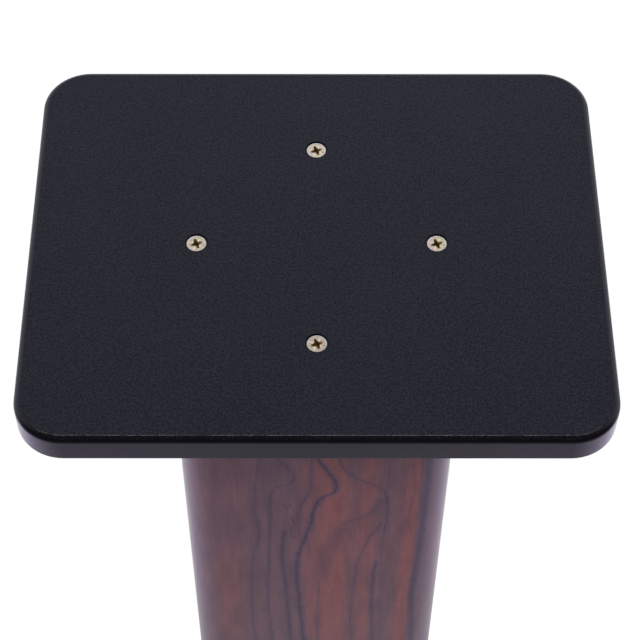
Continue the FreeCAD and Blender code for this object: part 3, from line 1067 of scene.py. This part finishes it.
def fibreboard(nodes):
    """Bare fibreboard: tan, with fine fibres lying every way."""
    place = nodes.object_place()
    fibres = nodes.noise(nodes.stretched(place, (900, 900, 260)), 1, detail=4)
    mottling = nodes.noise(place, 60, detail=3)
    tone = 0.5 * fibres + 0.5 * mottling
    return {
        "Base Color": nodes.mix(tone, (0.40, 0.28, 0.17), (0.56, 0.42, 0.29)),
        "Roughness": 0.75 + 0.15 * fibres,
        "Normal": nodes.bump(fibres, 0.3, 0.0001),
    }


def yellow_zinc(nodes):
    """Yellow-passivated zinc with a faint pink and green play of colour; painted shade in its
    recesses, a painted highlight on the head's rim and painted glints in its marks.
    """
    place = nodes.object_place()
    recess = nodes.noted("recess")
    radial = nodes.noted("radial")
    play = nodes.noise(place, 300, detail=2)
    wear = nodes.noise(place, 2200, detail=3)
    warm = nodes.mix(play.ramp(0.38, 0.62), (0.93, 0.79, 0.50), (0.96, 0.76, 0.60))
    warm = nodes.mix(wear.ramp(0.5, 0.75) * 0.35, warm, (0.70, 0.56, 0.34))
    # painted highlight: a pale band round the head's rim
    rim_highlight = radial.ramp(0.84, 0.92) * radial.ramp(1.02, 1.0)
    warm = nodes.mix(rim_highlight * 0.8, warm, (0.96, 0.90, 0.84))
    # painted glints: the marks' bottoms get a diffuse cream colour and less metal, so that the
    # lamps light them up
    mark = nodes.noted("mark").ramp(0.15, 0.6)
    warm = nodes.mix(mark, warm, (0.46, 0.42, 0.32))
    # painted shade: darker towards the bottom of the recess
    recess_shade = recess.ramp(0.0, 0.8) * (1 - mark)
    return {
        "Base Color": nodes.mix(recess_shade, warm, (0.42, 0.31, 0.10)),
        # less metallic in the marks, for their painted glints
        "Metallic": 1 - 0.6 * mark,
        "Roughness": 0.24 + 0.14 * wear + 0.15 * recess_shade,
        "Normal": nodes.bump(wear, 0.15, 0.00004),
    }


def nickel_steel(nodes):
    """Satin nickel plate with fine turning marks, with painted shade in its hollows."""
    place = nodes.object_place()
    marks = nodes.noise(nodes.stretched(place, (60, 60, 5200)), 1, detail=2)
    haze = nodes.noise(place, 160, detail=3)
    hollow = nodes.noted("hollow").ramp(0.1, 0.9)
    plate = nodes.mix(haze, (0.60, 0.58, 0.55), (0.70, 0.68, 0.64))
    return {
        # painted shade between the collar's teeth and at the thread's root
        "Base Color": nodes.mix(hollow * 0.8, plate, (0.10, 0.09, 0.08)),
        "Metallic": 1.0,
        "Roughness": 0.22 + 0.12 * marks + 0.06 * haze + 0.2 * hollow,
        "Normal": nodes.bump(marks, 0.08, 0.00005),
    }


def matt_rubber(nodes):
    """Matt black rubber with a moulded texture and a little dust."""
    place = nodes.object_place()
    moulded = nodes.noise(place, 1600, detail=3)
    dust = nodes.noise(place, 140, detail=4).ramp(0.55, 0.8)
    return {
        "Base Color": nodes.mix(dust * 0.5, (0.018, 0.018, 0.019), (0.045, 0.044, 0.042)),
        "Roughness": 0.72 + 0.15 * moulded,
        "Normal": nodes.bump(moulded, 0.25, 0.00008),
    }


# --- assembly ----------------------------------------------------------------------------------

def dress(piece, material):
    piece.data.materials.clear()
    piece.data.materials.append(material)


def put(piece, node, body, slot):
    """A finished piece stands for its node and takes its finish."""
    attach(piece, body)
    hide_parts(node)
    dress(piece, FINISHES[slot])


FINISHES = {
    "black_grain_film": finish("grained_film", grained_film),
    "black_board": finish("black_lacquer", black_lacquer),
    "bare_board": finish("fibreboard", fibreboard),
    "rosewood_film": finish("rosewood_film", rosewood_film),
    "yellow_zinc": finish("yellow_zinc", yellow_zinc),
    "foot_steel": finish("nickel_steel", nickel_steel),
    "black_rubber": finish("matt_rubber", matt_rubber),
}


def assemble():
    for plate, build in (("top", top_plate), ("base", base_plate)):
        board, film = build()
        put(board, f"{plate}_plate_board", "stand", "black_board")
        put(film, f"{plate}_plate_film", "stand", "black_grain_film")
    put(column_wrap(), "column_wrap", "stand", "rosewood_film")
    for piece, node in screws():
        put(piece, node, "stand", "yellow_zinc")
    for piece, node, body, slot in feet():
        put(piece, node, body, slot)
    for side in SIDES:
        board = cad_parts[f"column_board_{side}"]
        dress(board, FINISHES["bare_board"])


# --- stage, light and camera -------------------------------------------------------------------

FLOOR_SIZE = 12
# the floor is plain in reflections up to the first distance from the middle, and shaded from the
# second
PLAIN_FLOOR = (0.28, 0.46)
# soft lights: name, place, aim, size in metres and power in watts
LAMPS = (
    ("above", (0, -0.8, 2.9), (0, -0.2, 0.6), 1.5, 78),
    ("left", (-1.9, -0.9, 2.6), (0, 0, 0.5), 1.4, 32),
    ("right", (1.9, -0.8, 2.5), (0, 0, 0.5), 1.4, 30),
    ("back", (0.4, 2.0, 2.4), (0, 0, 0.5), 1.4, 34),
)
# the photograph's camera: sensor and lens in millimetres, shifts in widths of the sensor, turns in
# degrees, and its place from the middle of the top board's upper face
SENSOR, LENS = 36, 106.27
SHIFT_X, SHIFT_Y = 0.0156, -0.025
YAW, PITCH, ROLL = 0.089, 55.2235, 0.099
CAMERA_PLACE = (-3.44 * MM, -470.20 * MM, 632.88 * MM)


def ray_kinds(nodes):
    """1 for a ray straight from the camera, for one off a glossy surface, for one through glass."""
    path = nodes.tree.nodes.new("ShaderNodeLightPath")
    names = ("Is Camera Ray", "Is Glossy Ray", "Is Transmission Ray")
    return [Number(nodes, path.outputs[name]) for name in names]


def studio_floor():
    """A white floor, clear from below, with soft shadows; shaded by direction in reflections."""
    floor = added("floor", bpy.ops.mesh.primitive_plane_add, size=FLOOR_SIZE)
    material = bpy.data.materials.new("white_floor")
    material.use_nodes = True
    nodes = Nodes(material.node_tree)
    camera, glossy, glass = ray_kinds(nodes)
    place = nodes.object_place()
    x, y = nodes.part(place, "X"), nodes.part(place, "Y")
    # the added share keeps the distance over 0 in the middle
    reach = nodes.math("SQRT", x * x + y * y + 0.01)
    ahead = abs(x / reach).ramp(0.18, 0.02)
    # in reflections: darker towards the front, lighter to the sides, a little darker straight on
    mirrored = 1.13 + 0.74 * (y / reach) + 0.13 * abs(x / reach) - 0.04 * ahead
    mirrored = mirrored * reach.ramp(3.6, 0.8, 0.25, 1)
    # between the feet it is plain in reflections too
    away = reach.ramp(*PLAIN_FLOOR)
    mirrored = away * mirrored + (1 - away) * 0.8
    strength = 1.06 * camera.greatest(glass) + glossy * mirrored
    tint = nodes.mix(glossy * away * (y / reach).ramp(0.9, -0.1), (1, 1, 1), (0.98, 0.86, 1.22))
    glow = nodes.add("Emission", None, {"Color": tint, "Strength": strength})
    paint = nodes.add("BsdfDiffuse", None, {"Color": (0.5, 0.5, 0.5, 1)})
    share = camera.greatest(glossy).greatest(glass) * 0.88
    both = nodes.add("MixShader", None, {0: share, 1: paint, 2: glow})
    clear = nodes.add("BsdfTransparent")
    from_below = camera * nodes.add("NewGeometry", output=6)
    shown = nodes.add("MixShader", None, {0: from_below, 1: both, 2: clear})
    nodes.add("OutputMaterial", None, {"Surface": shown})
    dress(floor, material)
    floor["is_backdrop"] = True


def studio_world():
    """White to the camera; in reflections a soft light behind, and dark above and in front."""
    world = bpy.data.worlds.new("studio")
    world.use_nodes = True
    bpy.context.scene.world = world
    nodes = Nodes(world.node_tree)
    camera, glossy, glass = ray_kinds(nodes)
    way = nodes.add("TexCoord", output=0)
    behind = nodes.part(way, "Y").ramp(-0.25, 0.4)
    upward = nodes.part(way, "Z")
    below_light = upward.ramp(0.74, 0.96, 1, 0)
    horizon = upward.ramp(0.02, 0.3, 1, 0)
    mirrored = 0.02 + behind * (0.84 * below_light + 0.5 * horizon)
    ambient = 0.24
    seen = camera.greatest(glass)
    strength = seen + (1 - seen) * (glossy * mirrored + (1 - glossy) * ambient)
    tint = nodes.mix(glossy * behind, (1, 1, 1), (0.94, 0.98, 1.14))
    glow = nodes.add("Background", None, {"Color": tint, "Strength": strength})
    nodes.add("OutputWorld", None, {"Surface": glow})


def lamp(name, place, aim, size, power):
    """A square soft light that lights the surfaces without showing in their gloss."""
    data = bpy.data.lights.new(name, "AREA")
    data.shape = "SQUARE"
    data.size = size
    data.energy = power
    light = bpy.data.objects.new(name, data)
    bpy.context.scene.collection.objects.link(light)
    light.location = place
    light.rotation_euler = (Vector(aim) - Vector(place)).to_track_quat("-Z", "Y").to_euler()
    light.visible_glossy = False


def photo_camera():
    """The photograph's view: from the front, steeply down on the top plate."""
    yaw, pitch, roll = (math.radians(angle) for angle in (YAW, PITCH, ROLL))
    plate_top = Vector((0, 0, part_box("top_plate_board")[1].z))
    turn = (Matrix.Rotation(-yaw, 4, "Z") @ Matrix.Rotation(math.pi / 2 - pitch, 4, "X")
            @ Matrix.Rotation(roll, 4, "Z"))
    data = bpy.data.cameras.new("photo_camera")
    data.sensor_width = SENSOR
    data.lens = LENS
    data.shift_x = SHIFT_X
    data.shift_y = SHIFT_Y
    camera = bpy.data.objects.new("photo_camera", data)
    bpy.context.scene.collection.objects.link(camera)
    camera.matrix_world = Matrix.Translation(plate_top + Vector(CAMERA_PLACE)) @ turn
    bpy.context.scene.camera = camera


assemble()
studio_floor()
studio_world()
for settings in LAMPS:
    lamp(*settings)
photo_camera()
bpy.context.scene.view_settings.view_transform = "Standard"
